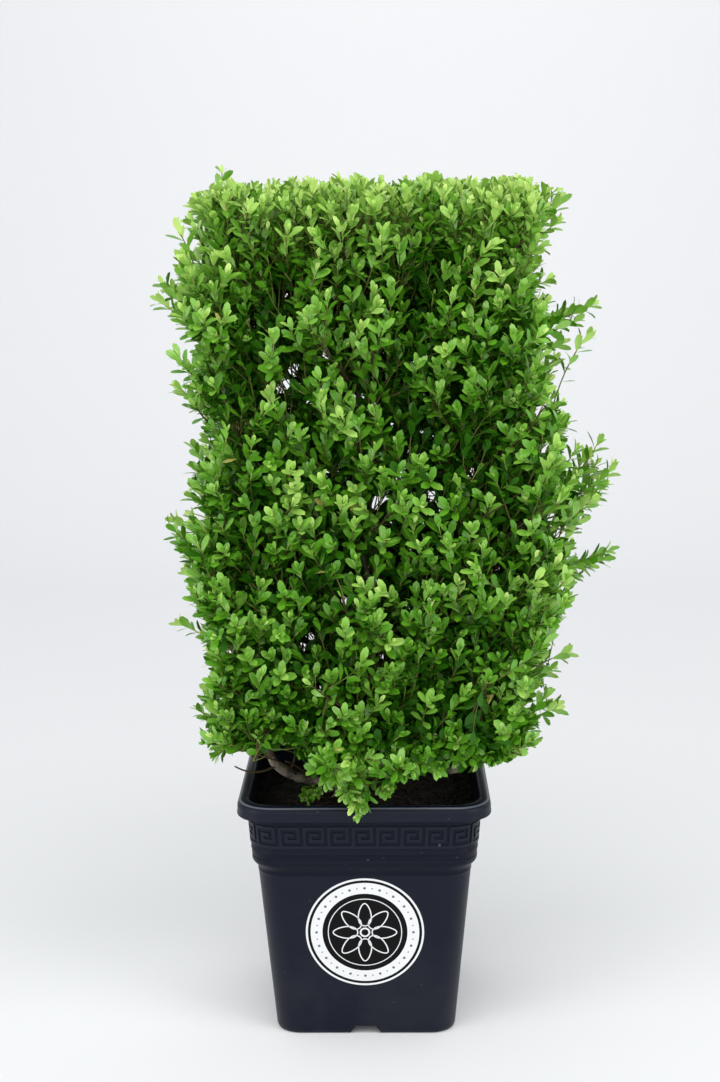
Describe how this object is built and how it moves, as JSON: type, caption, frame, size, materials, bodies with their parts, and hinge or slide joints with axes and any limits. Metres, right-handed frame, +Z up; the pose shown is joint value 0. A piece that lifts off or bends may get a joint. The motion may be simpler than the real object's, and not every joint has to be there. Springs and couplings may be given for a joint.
{
  "type": "potted japanese holly",
  "caption": "Evergreen shrub with small rounded leaves, clipped to an upright block and standing in a square tapered plastic pot with a rolled rim and a key-pattern band.",
  "frame": {"origin": "centre of the pot's flat underside, on the ground", "axes": "+Z up along the plant, -Y towards the front that carries the round badge, +X to the right seen from the front"},
  "size_m": [0.422, 0.3275, 0.7933],
  "materials": {
    "pot_plastic": "matt moulded plastic, dark slate",
    "potting_soil": "moist dark peat",
    "bark_trunk": "grey-brown bark",
    "bark_front_left": "grey-brown bark",
    "bark_front_centre": "grey-brown bark",
    "bark_front_right": "grey-brown bark",
    "bark_back_left": "grey-brown bark",
    "bark_back_centre": "grey-brown bark",
    "bark_back_right": "grey-brown bark",
    "leaf_front_left": "small glossy leaves",
    "leaf_front_centre": "small glossy leaves",
    "leaf_front_right": "small glossy leaves",
    "leaf_back_left": "small glossy leaves",
    "leaf_back_centre": "small glossy leaves",
    "leaf_back_right": "small glossy leaves"
  },
  "bodies": {
    "root": {"pot": "pot_plastic", "soil": "potting_soil", "trunk": "bark_trunk", "bough_front_left": "bark_front_left", "bough_front_centre": "bark_front_centre", "bough_front_right": "bark_front_right", "bough_back_left": "bark_back_left", "bough_back_centre": "bark_back_centre", "bough_back_right": "bark_back_right", "foliage_front_left": "leaf_front_left", "foliage_front_centre": "leaf_front_centre", "foliage_front_right": "leaf_front_right", "foliage_back_left": "leaf_back_left", "foliage_back_centre": "leaf_back_centre", "foliage_back_right": "leaf_back_right"}
  },
  "joints": []
}
